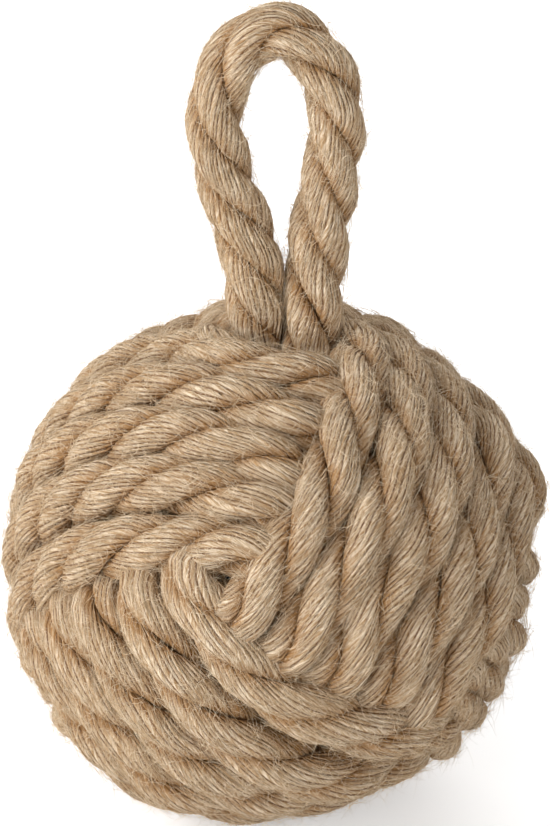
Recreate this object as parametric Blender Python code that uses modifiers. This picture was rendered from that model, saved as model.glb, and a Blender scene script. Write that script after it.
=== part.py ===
"""Rope knot doorstop: a monkey's fist of five turns each way, laid round a bag of sand, with a loop handle.

Units are metres and +Z is up. The origin is on the floor, under the middle of the knot. The loop handle
stands in the XZ plane, so the photograph's side is -Y. The knot hangs on its own three axes: each winding
runs round the ball in planes across one of them, and the corner where all three are positive points up,
leaning a little to the right and the front, as the ball has settled on its turns.
"""

import math

import bmesh
import bpy
import numpy as np
from mathutils import Matrix, Vector
from mathutils.geometry import interpolate_bezier

# Rope of the knot. The lanes of a winding lie side by side, one pitch apart.
ROPE_DIAMETER = 0.0139
CROSSING_GAP = 0.00045
TURNS = 5

# Shape of a monkey's fist, in lane pitches and degrees, the same for a rope of any size. A turn lies on
# the outer sphere where it shows, and dives to the inner sphere to pass under the next winding.
CROSSING_REACH = 0.898
INNER_SPHERE_PITCHES = 3.818
OUTER_SPHERE_PITCHES = 4.813
DIVE_START_DEG = 42.0
DIVE_END_DEG = 56.0
LANE_CHANGE_HALF_DEG = 35.0
TAIL_STOP_DEG = 20.0
FIRST_CORNER_TURN_DEG = -12.5
LEAN_RIGHT_DEG = 5.6
LEAN_FORWARD_DEG = 2.6

# Fits. Rope that touches rope, and the bag that the knot grips, keep a hair of air. The bag is this much
# fuller than the ropes' corners allow, because corners of the bag and of the ropes don't meet. The loop's
# half-ball ends have more air, so that their flats and the legs above them clear the seats as they tilt.
SEAT_GAP = 0.0003
TILT_GAP = 0.0006
BAG_FULLNESS = 0.0007

# How deep the floor presses into the lowest turn, as a share of the rope. The turns beside it are higher
# by the knot's lean and are pressed less.
FLAT_SHARE = 0.24

# Loop handle, sized to the fingers. It stands a little to the right of the knot's middle. Heights are taken
# from the line that it bends about. A pull is how far a curve's handle reaches, as a share of the distance
# to the next bend.
HANDLE_DIAMETER = 0.0185
HANDLE_SIDE = 0.0040
LEG_GAP = 0.0008
FINGER_GAP = 0.0190
BELLY_HEIGHT = 0.050
LOOP_HEIGHT = 0.0852
LOOP_LEAN = -0.0028
ROOT_DEPTH = 0.0165
LEG_PULL = 0.45
CROWN_PULL = 0.55
END_ANGLES_DEG = (22, 44, 66, 84)

# Weighted bag inside the knot.
BAG_WALL = 0.0012
BAG_SHOULDER_DEG = 25.0
SAND_SETTLE_DEG = 2.5
BAG_DISH = 0.006
NECK_RADIUS = 0.006
NECK_HEIGHT = 0.009
TIE_DIAMETER = 0.003

# How finely round things are cut into flats. Edges shorter than the last are welded away.
ROPE_SIDES_STEP = 1
HANDLE_SIDES_STEP = 3
SPAN_POINTS = 9
ROUND_STEPS = 24
OUTLINE_POINTS = 13
TIE_SIDES = 8
SHORT_EDGE = 0.0001

# Worked out from the sizes above.
ROPE_RADIUS = ROPE_DIAMETER / 2
HANDLE_RADIUS = HANDLE_DIAMETER / 2
LANE_PITCH = (ROPE_DIAMETER + CROSSING_GAP) / CROSSING_REACH
INNER_SPHERE = INNER_SPHERE_PITCHES * LANE_PITCH
OUTER_SPHERE = OUTER_SPHERE_PITCHES * LANE_PITCH
HINGE_ABOVE_CENTRE = OUTER_SPHERE + ROPE_RADIUS + HANDLE_RADIUS
LEG_OFFSET = HANDLE_RADIUS + LEG_GAP / 2

# Linear colours from the photograph.
JUTE = (0.37, 0.26, 0.155)
DARK_CLOTH = (0.028, 0.031, 0.038)
TWINE = (0.30, 0.22, 0.14)
SAND = (0.42, 0.34, 0.23)


def clear_scene():
    for thing in list(bpy.data.objects):
        bpy.data.objects.remove(thing, do_unlink=True)


def make_collection(name):
    collection = bpy.data.collections.new(name)
    bpy.context.scene.collection.children.link(collection)
    return collection


def make_material(name, colour, roughness):
    material = bpy.data.materials.new(name)
    material.use_nodes = True
    shader = material.node_tree.nodes["Principled BSDF"]
    shader.inputs["Base Color"].default_value = (*colour, 1.0)
    shader.inputs["Roughness"].default_value = roughness
    shader.inputs["Metallic"].default_value = 0.0
    return material


def make_empty(name, collection, location):
    empty = bpy.data.objects.new(name, None)
    empty.empty_display_size = ROPE_DIAMETER
    empty.location = location
    collection.objects.link(empty)
    return empty


def knot_frame():
    """The turn from the knot's own axes to the part's, with the all-positive corner up, less its lean."""
    up = Vector((1, 1, 1)).normalized()
    front = Vector((-2, 1, 1)).normalized()
    side = up.cross(front)
    knot = Matrix((front, side, up))
    lean_right = math.tan(math.radians(LEAN_RIGHT_DEG))
    lean_forward = math.tan(math.radians(LEAN_FORWARD_DEG))
    up_here = Vector((lean_right, -lean_forward, 1)).normalized()
    azimuth = math.radians(FIRST_CORNER_TURN_DEG)
    level_front = Vector((math.sin(azimuth), -math.cos(azimuth), 0))
    front_here = (level_front - up_here * level_front.dot(up_here)).normalized()
    side_here = up_here.cross(front_here)
    here = Matrix((front_here, side_here, up_here)).transposed()
    return here @ knot


def smooth_step(value):
    value = min(max(value, 0.0), 1.0)
    return value * value * (3 - 2 * value)


def quarter_angles():
    """Six points of a quarter turn, from the middle of its shown side to just before its hidden middle."""
    shown = [DIVE_START_DEG * step / 3 for step in range(4)]
    dive = [(DIVE_START_DEG + DIVE_END_DEG) / 2, DIVE_END_DEG]
    return shown + dive


def turn_angles():
    """The 24 points of one whole turn, closer together where the rope dives."""
    quarter = quarter_angles()
    angles = []
    for start in (0, 180):
        angles += [start + angle for angle in quarter]
        angles += [start + 90]
        angles += [start + 180 - angle for angle in reversed(quarter[1:])]
    return angles


def rope_radius_at(angle):
    """How far the rope's middle is from the middle of the knot, at an angle round the turn."""
    folded = abs((angle + 90) % 180 - 90)
    dive = smooth_step((folded - DIVE_START_DEG) / (DIVE_END_DEG - DIVE_START_DEG))
    return OUTER_SPHERE + (INNER_SPHERE - OUTER_SPHERE) * dive


def lane_at(angle):
    """The lane of a winding, from -2 to 2. Each change is on the hidden side at 90 degrees."""
    middle = (TURNS - 1) / 2
    turn = round((angle - 90) / 360)
    past = angle - 90 - 360 * turn
    change = smooth_step((past / LANE_CHANGE_HALF_DEG + 1) / 2)
    return turn - middle - 1 + change


def winding_points(which, turn):
    """The middle line of one winding, about the middle of the knot."""
    first = 90 + TAIL_STOP_DEG
    last = 90 + 360 * TURNS - TAIL_STOP_DEG
    round_angles = [angle + 360 * lap for lap in range(TURNS + 1) for angle in turn_angles()]
    angles = [first] + [angle for angle in round_angles if first + 1 < angle < last - 1] + [last]
    points = []
    for angle in angles:
        across = lane_at(angle) * LANE_PITCH
        reach = math.sqrt(rope_radius_at(angle) ** 2 - across ** 2)
        shown = reach * math.cos(math.radians(angle))
        hidden = reach * math.sin(math.radians(angle))
        # The three windings are one shape, passed on from axis to axis.
        place = Vector(np.roll((shown, hidden, across), which))
        points.append(turn @ place)
    return points


def along_line(points, per_step=8):
    """Points close together along a path, with the length run at each."""
    corners = np.array([tuple(point) for point in points])
    shares = np.linspace(0, 1, per_step, endpoint=False)[:, None]
    runs = [start + (end - start) * shares for start, end in zip(corners[:-1], corners[1:])]
    line = np.concatenate(runs + [corners[-1:]])
    steps = np.linalg.norm(np.diff(line, axis=0), axis=1)
    return line, np.concatenate([[0.0], np.cumsum(steps)])


def least_reach(line, others):
    return min(np.linalg.norm(others - point, axis=1).min() for point in line)


def report_least_gaps(windings):
    """Measures, on points, how near the rope of each winding comes to itself and to the next winding."""
    lines = [along_line(points) for points in windings]
    same_stretch = 4 * ROPE_DIAMETER
    for number, (line, run) in enumerate(lines):
        own = min(
            np.linalg.norm(line[abs(run - here) > same_stretch] - point, axis=1).min()
            for point, here in zip(line, run)
        )
        following = lines[(number + 1) % len(lines)][0]
        crossing = least_reach(line, following)
        print(
            f"winding {number + 1}: least gap to itself {(own - ROPE_DIAMETER) * 1000:.2f} mm,",
            f"to the next winding {(crossing - ROPE_DIAMETER) * 1000:.2f} mm,",
            f"rope {run[-1]:.2f} m",
        )


def tube_curve(name, collection, points, radius, sides_step, widths=None):
    """A poly curve with a round bevel and filled caps. widths scales the bevel at each point."""
    data = bpy.data.curves.new(name, "CURVE")
    data.dimensions = "3D"
    data.bevel_depth = radius
    data.bevel_resolution = sides_step
    data.use_fill_caps = True
    spline = data.splines.new("POLY")
    spline.points.add(len(points) - 1)
    for index, point in enumerate(points):
        spline.points[index].co = (*point, 1.0)
        spline.points[index].radius = 1.0 if widths is None else widths[index]
    curve = bpy.data.objects.new(name, data)
    collection.objects.link(curve)
    return curve


def as_mesh(curve, collection):
    """The curve's own shape as a mesh object under the same name, with its caps welded on."""
    name = curve.name
    bpy.context.view_layer.update()
    evaluated = curve.evaluated_get(bpy.context.evaluated_depsgraph_get())
    mesh = bpy.data.meshes.new_from_object(evaluated)
    matrix = curve.matrix_world.copy()
    bpy.data.objects.remove(curve, do_unlink=True)
    shape = bmesh.new()
    shape.from_mesh(mesh)
    bmesh.ops.remove_doubles(shape, verts=shape.verts, dist=0.00002)
    bmesh.ops.recalc_face_normals(shape, faces=shape.faces)
    shape.to_mesh(mesh)
    shape.free()
    thing = bpy.data.objects.new(name, mesh)
    thing.matrix_world = matrix
    collection.objects.link(thing)
    return thing


def tube(name, collection, points, radius, sides_step, widths=None):
    return as_mesh(tube_curve(name, collection, points, radius, sides_step, widths), collection)


def smooth_round(thing, sharp_deg=50):
    thing.data.shade_smooth()
    thing.data.set_sharp_from_angle(angle=math.radians(sharp_deg))


def hide_cutter(cutter):
    cutter.hide_render = True
    cutter.display_type = "WIRE"
    return cutter


def cut(thing, cutter):
    modifier = thing.modifiers.new(f"less_{cutter.name}", "BOOLEAN")
    modifier.operation = "DIFFERENCE"
    modifier.object = cutter
    modifier.solver = "EXACT"


def box_cutter(name, collection, low, high):
    mesh = bpy.data.meshes.new(name)
    shape = bmesh.new()
    bmesh.ops.create_cube(shape, size=1.0)
    size = Vector(high) - Vector(low)
    middle = (Vector(high) + Vector(low)) / 2
    bmesh.ops.scale(shape, vec=size, verts=shape.verts)
    bmesh.ops.translate(shape, vec=middle, verts=shape.verts)
    shape.to_mesh(mesh)
    shape.free()
    cutter = bpy.data.objects.new(name, mesh)
    collection.objects.link(cutter)
    return hide_cutter(cutter)


def ball_cutter(name, collection, centre, radius):
    mesh = bpy.data.meshes.new(name)
    shape = bmesh.new()
    bmesh.ops.create_uvsphere(shape, u_segments=ROUND_STEPS, v_segments=OUTLINE_POINTS, radius=radius)
    bmesh.ops.translate(shape, vec=centre, verts=shape.verts)
    shape.to_mesh(mesh)
    shape.free()
    cutter = bpy.data.objects.new(name, mesh)
    collection.objects.link(cutter)
    return hide_cutter(cutter)


def turned(name, collection, outline):
    """A turned shape. The outline is (radius, height) pairs, from the top down its outer side."""
    mesh = bpy.data.meshes.new(name)
    edges = [(index, index + 1) for index in range(len(outline) - 1)]
    mesh.from_pydata([(radius, 0, height) for radius, height in outline], edges, [])
    thing = bpy.data.objects.new(name, mesh)
    collection.objects.link(thing)
    screw = thing.modifiers.new("turn", "SCREW")
    screw.steps = ROUND_STEPS
    screw.render_steps = ROUND_STEPS
    screw.use_merge_vertices = True
    screw.merge_threshold = 0.00005
    return thing


def arc_down(radius, start_deg):
    """Part of a ball's outline, from an angle off the top down to the bottom pole."""
    angles = np.radians(np.linspace(start_deg, 180, OUTLINE_POINTS))
    outline = [(radius * math.sin(angle), radius * math.cos(angle)) for angle in angles]
    outline[-1] = (0.0, -radius)
    return outline


def make_windings(collection, cutters, turn, centre, materials):
    """The three windings, each one unbroken tube, cut flat where the knot stands."""
    windings = [winding_points(which, turn) for which in range(3)]
    report_least_gaps(windings)
    wide = OUTER_SPHERE + 2 * ROPE_DIAMETER
    deep = 4 * ROPE_DIAMETER
    floor = box_cutter("floor_cut", cutters, (-wide, -wide, -deep), (wide, wide, 0))
    for number, points in enumerate(windings):
        name = ("first_winding", "second_winding", "third_winding")[number]
        rope = tube(name, collection, points, ROPE_RADIUS, ROPE_SIDES_STEP)
        rope.parent = centre
        rope.data.materials.append(materials[name])
        smooth_round(rope, 70)
        cut(rope, floor)
    return windings


def loop_path():
    """The handle's middle line and its bevel scale. It starts and ends on the line that it bends about."""
    belly = FINGER_GAP / 2 + HANDLE_RADIUS
    rise = LOOP_HEIGHT - BELLY_HEIGHT
    left_foot = Vector((-LEG_OFFSET, 0, 0))
    left_belly = Vector((LOOP_LEAN - belly, 0, BELLY_HEIGHT))
    crown = Vector((LOOP_LEAN, 0, LOOP_HEIGHT))
    right_belly = Vector((LOOP_LEAN + belly, 0, BELLY_HEIGHT))
    right_foot = Vector((LEG_OFFSET, 0, 0))
    lift = Vector((0, 0, LEG_PULL * BELLY_HEIGHT))
    shoulder = Vector((0, 0, CROWN_PULL * rise))
    reach = Vector((CROWN_PULL * belly, 0, 0))
    spans = (
        (left_foot, left_foot + lift, left_belly - lift, left_belly),
        (left_belly, left_belly + shoulder, crown - reach, crown),
        (crown, crown + reach, right_belly + shoulder, right_belly),
        (right_belly, right_belly - lift, right_foot + lift, right_foot),
    )
    path = [left_foot]
    for span in spans:
        path += interpolate_bezier(*span, SPAN_POINTS)[1:]
    widths = [1.0] * len(path)
    # Each end is a half ball, so that it turns in its seat.
    end_angles = [math.radians(angle) for angle in END_ANGLES_DEG]
    drops = [HANDLE_RADIUS * math.sin(angle) for angle in end_angles]
    end_widths = [math.cos(angle) for angle in end_angles]
    left_end = [left_foot - Vector((0, 0, drop)) for drop in reversed(drops)]
    right_end = [right_foot - Vector((0, 0, drop)) for drop in drops]
    return left_end + path + right_end, list(reversed(end_widths)) + widths + end_widths


def make_handle(collection, hinge, material):
    points, widths = loop_path()
    loop = tube("handle_loop", collection, points, HANDLE_RADIUS, HANDLE_SIDES_STEP, widths)
    loop.parent = hinge
    loop.data.materials.append(material)
    smooth_round(loop)


def make_roots(collection, cutters, centre, windings, materials):
    """The legs' own rope below the bend, nested between the three turns that grip it."""
    grips = []
    for number, points in enumerate(windings):
        grip = tube(f"grip_{number + 1}", cutters, points, ROPE_RADIUS + SEAT_GAP, ROPE_SIDES_STEP)
        grip.parent = centre
        grips.append(hide_cutter(grip))
    for name, side in (("handle_root_left", -1), ("handle_root_right", 1)):
        foot = Vector((HANDLE_SIDE + side * LEG_OFFSET, 0, HINGE_ABOVE_CENTRE))
        bottom = foot - Vector((0, 0, ROOT_DEPTH))
        rim = foot - Vector((0, 0, LEG_GAP))
        root = tube(name, collection, [bottom, rim], HANDLE_RADIUS, HANDLE_SIDES_STEP)
        root.parent = centre
        root.data.materials.append(materials[name])
        seat = ball_cutter(f"{name}_seat", cutters, foot, HANDLE_RADIUS + TILT_GAP)
        seat.parent = centre
        cut(root, seat)
        for grip in grips:
            cut(root, grip)
        tidy = root.modifiers.new("tidy", "WELD")
        tidy.merge_threshold = SHORT_EDGE
        smooth_round(root)


def bag_outline(radius):
    """Neck, dished top and ball of the bag, from the top down. The last pair is the bottom pole."""
    ball = arc_down(radius, BAG_SHOULDER_DEG)
    dish = ball[0][1] - BAG_DISH
    return [(NECK_RADIUS, dish + NECK_HEIGHT), (NECK_RADIUS, dish)] + ball


def make_bag(collection, centre, radius, materials):
    """The bag, its tied neck and the sand. The neck is open inside the tie, as cloth is."""
    outline = bag_outline(radius)
    bag = turned("core_bag", collection, outline)
    wall = bag.modifiers.new("wall", "SOLIDIFY")
    wall.thickness = BAG_WALL
    wall.offset = -1
    wall.use_even_offset = True
    bag.parent = centre
    bag.data.materials.append(materials["core_bag"])

    inside = BAG_WALL + SEAT_GAP
    sand_ball = arc_down(radius - inside, BAG_SHOULDER_DEG + SAND_SETTLE_DEG)
    sand_top = outline[1][1] - 2 * inside
    sand = turned("sand_fill", collection, [(0.0, sand_top), (NECK_RADIUS, sand_top)] + sand_ball)
    sand.parent = centre
    sand.data.materials.append(materials["sand_fill"])

    tie_radius = TIE_DIAMETER / 2
    bpy.ops.mesh.primitive_torus_add(
        major_radius=NECK_RADIUS + SEAT_GAP + tie_radius,
        minor_radius=tie_radius,
        major_segments=ROUND_STEPS,
        minor_segments=TIE_SIDES,
    )
    tie = bpy.context.object
    tie.name = "bag_tie"
    tie.data.name = "bag_tie"
    for holder in list(tie.users_collection):
        holder.objects.unlink(tie)
    collection.objects.link(tie)
    tie.parent = centre
    tie.location = (0, 0, outline[1][1] + NECK_HEIGHT / 2)
    tie.data.materials.append(materials["bag_tie"])
    smooth_round(tie, 60)


def main():
    clear_scene()
    parts = make_collection("rope_knot_doorstop")
    cutters = make_collection("cutters")
    rope_nodes = (
        "first_winding",
        "second_winding",
        "third_winding",
        "handle_loop",
        "handle_root_left",
        "handle_root_right",
    )
    materials = {name: make_material(f"{name}_jute", JUTE, 0.9) for name in rope_nodes}
    materials["core_bag"] = make_material("core_bag_cloth", DARK_CLOTH, 0.85)
    materials["bag_tie"] = make_material("bag_tie_twine", TWINE, 0.85)
    materials["sand_fill"] = make_material("sand_fill_sand", SAND, 0.95)

    turn = knot_frame()
    lines = np.concatenate([along_line(winding_points(which, turn))[0] for which in range(3)])
    lowest = lines[:, 2].min() - ROPE_RADIUS
    centre_height = -lowest - FLAT_SHARE * ROPE_DIAMETER
    bag_radius = np.linalg.norm(lines, axis=1).min() - ROPE_RADIUS - SEAT_GAP + BAG_FULLNESS

    centre = make_empty("knot_centre", parts, (0, 0, centre_height))
    hinge = make_empty("handle_bend", parts, (HANDLE_SIDE, 0, centre_height + HINGE_ABOVE_CENTRE))
    windings = make_windings(parts, cutters, turn, centre, materials)
    make_handle(parts, hinge, materials["handle_loop"])
    make_roots(parts, cutters, centre, windings, materials)
    make_bag(parts, centre, bag_radius, materials)
    print(
        f"lane pitch {LANE_PITCH * 1000:.2f} mm, knot centre at {centre_height * 1000:.2f} mm,",
        f"bend line at {(centre_height + HINGE_ABOVE_CENTRE) * 1000:.2f} mm,",
        f"bag radius {bag_radius * 1000:.2f} mm",
    )


main()
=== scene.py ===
"""Looks of the rope knot doorstop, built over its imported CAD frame.

Units are metres and +Z is up, as in the frame. Each winding of the knot and the loop are laid again here
as real rope is: three strands twisted round each other, each strand a bundle of yarns, with stray fibres.
The loop's legs run on down into the knot's top corner. Inside lie a bag of dark cloth, its tie and its
sand.
"""

import math

import bpy
import numpy as np
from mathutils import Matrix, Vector

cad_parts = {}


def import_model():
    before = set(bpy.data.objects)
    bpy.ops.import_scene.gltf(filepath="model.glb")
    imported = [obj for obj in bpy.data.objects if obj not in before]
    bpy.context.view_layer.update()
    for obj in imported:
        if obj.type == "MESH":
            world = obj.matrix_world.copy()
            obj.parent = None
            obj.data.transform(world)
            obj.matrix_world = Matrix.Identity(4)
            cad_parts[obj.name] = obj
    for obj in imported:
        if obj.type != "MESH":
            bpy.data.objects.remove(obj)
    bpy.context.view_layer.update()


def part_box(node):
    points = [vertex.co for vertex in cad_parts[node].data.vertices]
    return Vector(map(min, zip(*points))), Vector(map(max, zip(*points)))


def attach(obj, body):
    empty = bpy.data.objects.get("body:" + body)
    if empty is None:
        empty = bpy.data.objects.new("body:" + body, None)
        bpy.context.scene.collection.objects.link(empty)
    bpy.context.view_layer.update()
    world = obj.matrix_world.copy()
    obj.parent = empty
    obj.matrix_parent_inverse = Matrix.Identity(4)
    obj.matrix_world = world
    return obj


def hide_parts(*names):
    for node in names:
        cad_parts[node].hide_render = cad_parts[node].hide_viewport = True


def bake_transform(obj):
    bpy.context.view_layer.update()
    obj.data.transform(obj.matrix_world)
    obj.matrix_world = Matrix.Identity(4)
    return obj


# The photograph's frame, and where the knot's middle lies in it.
FRAME_WIDTH = 550
FRAME_HEIGHT = 826
KNOT_IN_FRAME = (272, 562)
MM_PER_PIXEL = 0.3153
MM_PER_METRE = 1000
CAMERA_DISTANCE = 2.5
CAMERA_ELEVATION_DEG = 21.5
CAMERA_REACH = 50
SENSOR_HEIGHT = 36.0

# The knot, laid on the same lines as the CAD's windings. Its ropes are drawn tighter against each other.
TURNS = 5
KNOT_CENTRE = (0.0, 0.0, 0.08001)
FIRST_CORNER_TURN_DEG = -12.5
LEAN_RIGHT_DEG = 5.6
LEAN_FORWARD_DEG = 2.6
LANE_PITCH = 0.0178
OUTER_SPHERE = 0.0753
INNER_SPHERE = 0.0573
LANE_CHANGE_HALF_DEG = 35.0
TAIL_STOP_DEG = 20.0
WINDINGS = ("first_winding", "second_winding", "third_winding")
# Where a winding starts to dive under the next one, and where it is down: in its middle lane, then in its
# outer ones.
DIVE_START_DEG = (47.0, 49.0)
DIVE_END_DEG = (63.5, 63.5)
# Pulls that drew the ropes off their lanes, as the photo shows, all in mm. Each has its place on the ball
# as the camera sees it, to the right and up of the middle, then the pull there, to the right, up and
# inward, and how far round it the pull is felt.
PULLS = (
    ((37.7, -16.2), (-4.9, 2.5, 0.0), 19.0),
    ((18.5, 57.0), (4.0, 0.0, 0.0), 13.0),
    ((28.0, -45.0), (3.5, 9.0, 0.0), 27.0),
    ((46.0, -47.0), (0.0, 6.0, 0.0), 18.0),
    ((10.1, 40.4), (-1.0, -8.0, 0.0), 25.0),
    ((5.0, 61.0), (0.0, -5.0, 0.0), 18.0),
    ((-25.0, 70.0), (0.0, 0.0, 5.0), 15.0),
    ((70.0, 24.0), (0.0, 0.0, -5.0), 14.0),
    ((66.0, 31.0), (0.0, 0.0, -2.6), 13.0),
    ((74.0, -4.0), (0.0, 0.0, 1.6), 12.0),
    ((72.0, -18.0), (0.0, 0.0, 2.0), 25.0),
    ((58.0, -44.0), (0.0, 0.0, 2.5), 20.0),
    ((32.0, -66.0), (0.0, 0.0, 2.5), 18.0),
    ((-35.0, -64.0), (0.0, 0.0, -3.0), 15.0),
)
# The hole at the corner nearest the camera. Its place is in mm, like those of the pulls.
NEAR_CORNER = (-15.3, -4.0)
NEAR_CORNER_ROOM = 0.0068
NEAR_CORNER_REACH = 0.025
# The ball settles on the floor: its lowest turns are pushed up, less on its left than on its right.
FLOOR_SETTLE = 0.0052
FLOOR_SETTLE_REACH = 0.040
SETTLE_SHARES = (0.3, 1.5)
SETTLE_SIDE = 0.045

# Rope. A strand's offset from the rope's middle and its radius are shares of the rope's radius.
ROPE_RADIUS = 0.0103
STRANDS = 3
STRAND_OFFSET = 0.385
STRAND_RADIUS = 0.615
KNOT_LAYS = (0.074, 0.064, 0.072)
KNOT_PHASES = (6.22, 5.55, 4.46)
YARNS = 24
YARN_GROOVE = 0.00056
YARN_WIDTHS = (0.6, 1.4)
YARN_LEAST_WIDTH = 0.3
# Across a yarn, how deep each of its columns lies as a share of the groove.
GROOVE_PROFILE = (1.0, 0.22, 0.0, 0.22)
YARN_COLUMNS = len(GROOVE_PROFILE)
MAP_UNIT = 0.001
TURNED_MAP_LENGTH = 0.1
STRAND_CORNER_SHARPNESS = 12
RING_STEP_SHOWN = 0.0025
RING_STEP_HIDDEN = 0.007
LINE_STEP_DEG = 0.25

# Slow random wanders along a rope: the size of each, then its shortest and longest wave in metres.
LINE_WANDER = (0.00022, 0.03, 0.12)
STRAND_SWING = (0.05, 0.05, 0.2)
STRAND_SWELL = (0.012, 0.03, 0.2)
YARN_SWELL = (0.13, 0.018, 0.07)
YARN_SWAY = (0.06, 0.03, 0.15)
GROOVE_WANDER = (0.35, 0.01, 0.04)
YARN_PROUD = (0.00016, 0.012, 0.07)

# Room that a rope has, from its middle to what presses it on a side. It is free where nothing does. Beside
# its neighbours it has a share of half a lane, and less where it ends in a dive.
FREE = 0.030
PRESSED_HALF = 0.0071
SIDE_ROOM = 1.10
END_PINCH = 0.20
# Where something comes in, from 0 to 1: the value at which it starts, and how much further it is full.
END_PINCH_DEG = (43, 9)
COVERED_DEG = (45, 14)
HIDDEN_DIVE = (0.9, 0.1)
BESIDE_EDGE_LANE = (-0.7, 0.6)
# Then the turn from a strand's crown at which it lies in the seam between strands, where its colour takes
# painted shade.
SEAM_SHADE_ANGLE = (0.75, 0.85)
# Between neighbours, a rope counts as sunk in the hollows between ropes from this height down, in shares of
# its radius, and its colour there takes painted shade.
BESIDE_SHADE_TOP = 0.62
BESIDE_SHADE_FADE = 0.6

# Loop handle, on the CAD's line. Its legs lie against each other up to where they part, and they swell at
# their foot, where the right one leans over the left one. Each pull is how far its curve holds its course,
# as a share of the height or width that it spans.
HINGE_HEIGHT = 0.17312
HANDLE_SIDE = 0.0040
LOOP_RADIUS = 0.0093
LOOP_LAY = 0.061
LOOP_PHASE = 0.67
LEG_OFFSET = 0.0089
LEG_PRESS = 1.03
LEG_SWELL = 0.10
LEG_SWELL_HEIGHT = 0.045
LOOP_LEAN = -0.0028
BELLY_HALF = 0.0187
BELLY_HEIGHT = 0.0555
LOOP_HEIGHT = 0.0838
LEG_PULL = 0.40
SHOULDER_PULL = 0.52
CROWN_PULL = 0.46
# The hidden part of the left and the right leg: its way down at the hinge and at its root, and its root's
# place to the right and to the back of the hinge.
LEG_DEPTH = 0.034
LEG_DOWNS = ((0.08, 0.02, -1.0), (-0.03, -0.10, -1.0))
ROOT_DOWNS = ((0.30, 0.0, -1.0), (-0.12, -0.25, -1.0))
LEG_ROOTS = ((-0.0010, 0.0010), (0.0055, -0.0075))
# The knot grips the legs from a little below the hinge.
GRIP_START = 0.004
GRIP_LENGTH = 0.016
GRIP_ROOM = 1.1
GRIP_PINCH = 0.35
# The knot's turns make room for the legs, near the top of the ball and less of it behind them.
LEG_ROOM = 0.0160
LEG_ROOM_FORWARD = 0.0025
LEG_ROOM_LESS_BEHIND = 0.45
LEG_ROOM_BEHIND = (-0.01, 0.03)
LEG_ROOM_TOP = (0.03, 0.03)
LEFT_LEG_SHIFT = 0.002
LOOP_RING_STEP = 0.0016
SPAN_POINTS = 60

# Stray fibres start on the outside of a rope that shows, out of its deepest hollows and clear of the floor.
FIBRE_CLEARANCE = 0.004
FIBRE_HOLLOW_LIMIT = 0.95
FIBRE_SHOWN_LEAST = 0.6
FIBRE_OUTSIDE_SHARE = 0.8
FIBRE_BATCHES = 3
WINDING_FIBRES = 6000
LOOP_FIBRES = 6000
FIBRE_KNOTS = 6
FIBRE_SIDES = 3
FIBRE_HEADING = 0.55
FIBRE_CURL = 2.0
FIBRE_WAVE = 0.25
FIBRE_WAVE_PACE = 5
FIBRE_ROOT_DEPTH = 0.0001
FIBRE_LEAST_HEIGHT = 0.0002
FIBRE_THICKNESS = (0.00003, 0.00008)
FIBRE_TAPER_END = 1.05
# A few stand up and the rest lie along the rope. Rise and droop are shares of a hair's length.
STANDING_SHARE = 0.055
STANDING_HAIR = {"length": (0.0015, 0.0050), "rise": (0.3, 0.8), "droop": (-0.6, -0.1)}
LYING_HAIR = {"length": (0.002, 0.013), "rise": (0.03, 0.21), "droop": (-0.20, -0.03)}

# Bag inside the knot. Its top is dished round the neck, whose shape is given in shares of its radius.
BAG_RADIUS = 0.0505
BAG_SHOULDER_DEG = 25
BAG_BOTTOM_DEG = 179
BAG_BULGE = 0.011
BAG_BULGE_DEG = 8.0
BAG_DISH = 0.006
TOP_CORNER_HEIGHT = 0.9
NECK_RADIUS = 0.0058
NECK_HEIGHT = 0.009
NECK_RIM = 1.1
NECK_FLARE = 0.5
NECK_WAIST = 0.1
NECK_FOOT = 1.1
NECK_RINGS = 10
FOLD_RINGS = 12
BALL_RINGS = 70
GATHERS = 14
GATHER_DEPTH = 0.05
GATHER_RISE = (0.7, 0.3)
WRINKLE = 0.0003
WRINKLE_WAVES = (37, 23)

# Sand, within the box of the CAD's solid.
SAND_INSET = 0.001
SAND_CROWN_DEG = 24
SAND_CROWN_HALF = 0.0005
SAND_CROWN_RINGS = 12
SAND_RINGS = 60
SAND_LUMP = 0.0005
SAND_LUMP_RADIUS = 0.05
SAND_WAVES = (210, 160, 190)

# Tie round the bag's neck. Its ends don't quite meet.
TIE_TURN = 0.985
TIE_POINTS = 150
TIE_FILL = 0.95
TIE_LAY = 0.012

# Seeds of the random draws.
KNOT_SEED = 100
LOOP_SEED = 7
BAG_SEED = 5
TIE_SEED = 31

# Stage. Each lamp has its place, what it is aimed at, its width and its power.
FLOOR_TONE = 0.90
FLOOR_GLOW = 0.45
FLOOR_HALF = 12.0
FLOOR_DROP = 0.0001
WORLD_LIGHT = 0.50
LAMPS = (
    ("key", (-1.8, -0.75, 1.25), (0, 0, 0.12), 1.1, 36),
    ("low", (-0.6, -1.8, 0.3), (0, 0, 0.06), 1.4, 22),
    ("back", (0.4, 1.3, 1.4), (0, 0, 0.12), 1.2, 10),
)

# Keeps a length off 0 where it divides.
TINY = 1e-6


def smooth_step(value):
    value = np.clip(value, 0.0, 1.0)
    return value * value * (3 - 2 * value)


def come_in(value, start, length):
    """0 up to the start, 1 once value is the length further, and smooth between."""
    return smooth_step((value - start) / length)


def unit(vectors):
    return vectors / np.linalg.norm(vectors, axis=-1, keepdims=True)


def push_away(away, room):
    """How far points move that lie this far off a place, when it needs room round it."""
    distance = np.linalg.norm(away, axis=1, keepdims=True)
    return away / np.maximum(distance, TINY) * (np.sqrt(distance**2 + room**2) - distance)


def soft_limit(value, limit):
    """value, eased so that it never passes limit. Rope gives way like this where it is pressed."""
    sharpness = 10
    return value / (1 + (value / limit) ** sharpness) ** (1 / sharpness)


def drift(run, rng, size, shortest, longest):
    """A smooth random wander along a length, of about the given size."""
    waves = 6
    lengths = rng.uniform(shortest, longest, waves)
    starts = rng.uniform(0, 2 * math.pi, waves)
    parts = [np.sin(2 * math.pi * run / length + start) for length, start in zip(lengths, starts)]
    return size * np.sum(parts, axis=0) / math.sqrt(waves / 2)


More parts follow.
